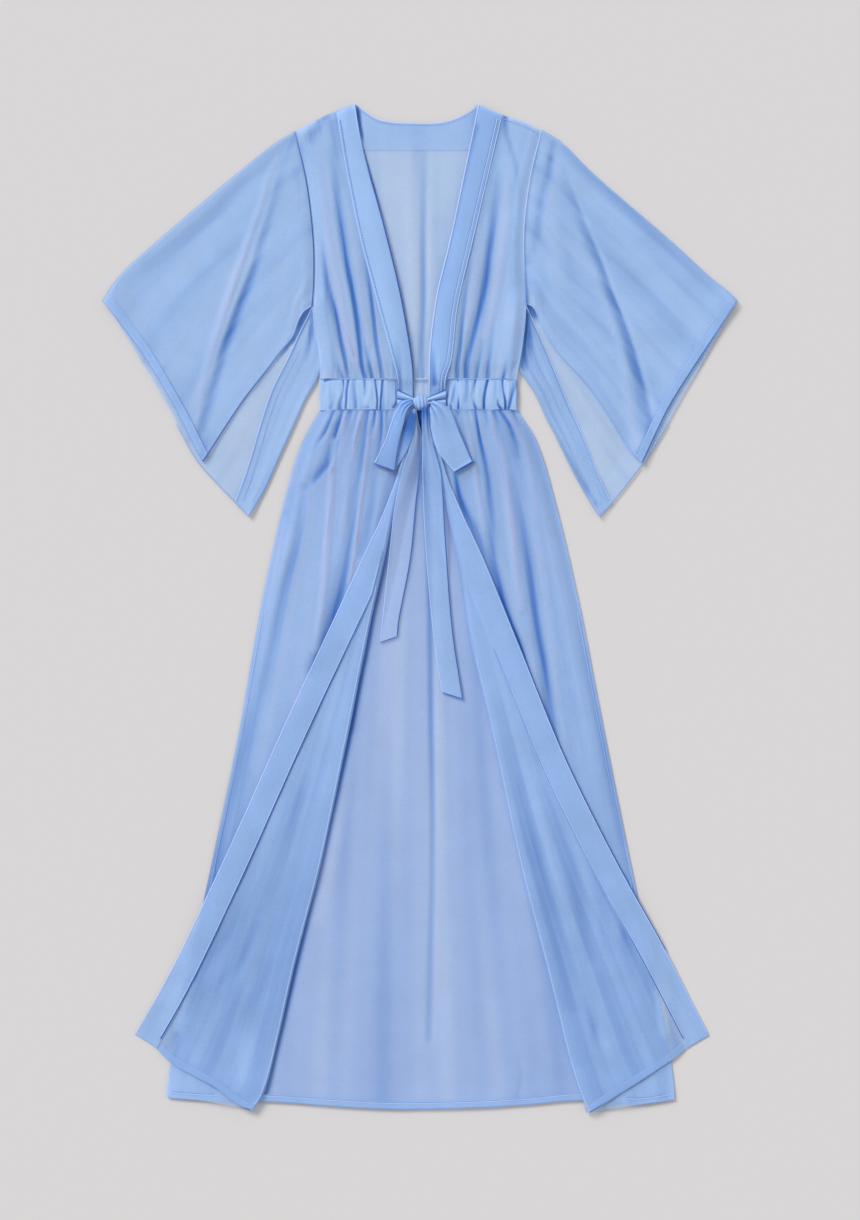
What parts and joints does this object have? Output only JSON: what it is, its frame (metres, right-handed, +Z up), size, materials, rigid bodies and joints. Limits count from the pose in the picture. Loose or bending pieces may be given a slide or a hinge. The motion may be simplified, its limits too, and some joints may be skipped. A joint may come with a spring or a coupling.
{
  "type": "beach kimono",
  "caption": "Long sheer beach kimono lying open and face up, with a gathered waist casing, tied bow, split sleeves and turned-back skirt fronts.",
  "frame": {"origin": "on the surface that the garment lies on, under the middle of its outline", "axes": "+Y from the hem to the neck, +X to the right as it is seen from above, +Z up from the surface"},
  "size_m": [0.9189, 1.4611, 0.0204],
  "materials": {
    "chiffon": "sheer matt powder-blue chiffon, one layer",
    "chiffon_doubled": "the same powder-blue chiffon in two or more layers, less sheer"
  },
  "bodies": {
    "root": {"bodice_back": "chiffon", "neck_facing": "chiffon_doubled", "bodice_left": "chiffon", "bodice_right": "chiffon", "band_bodice_left": "chiffon_doubled", "band_bodice_right": "chiffon_doubled", "sleeve_left": "chiffon", "sleeve_right": "chiffon", "cuff_left": "chiffon_doubled", "cuff_right": "chiffon_doubled", "casing_back": "chiffon_doubled", "casing_left": "chiffon_doubled", "casing_right": "chiffon_doubled", "skirt_back": "chiffon", "skirt_left": "chiffon", "skirt_right": "chiffon", "band_skirt_left": "chiffon_doubled", "band_skirt_right": "chiffon_doubled", "hem_back": "chiffon_doubled", "hem_left": "chiffon_doubled", "hem_right": "chiffon_doubled", "knot": "chiffon_doubled", "fan_left": "chiffon_doubled", "fan_right": "chiffon_doubled", "loop_left": "chiffon_doubled", "loop_right": "chiffon_doubled", "tail_left": "chiffon_doubled", "tail_right": "chiffon_doubled"}
  },
  "joints": []
}
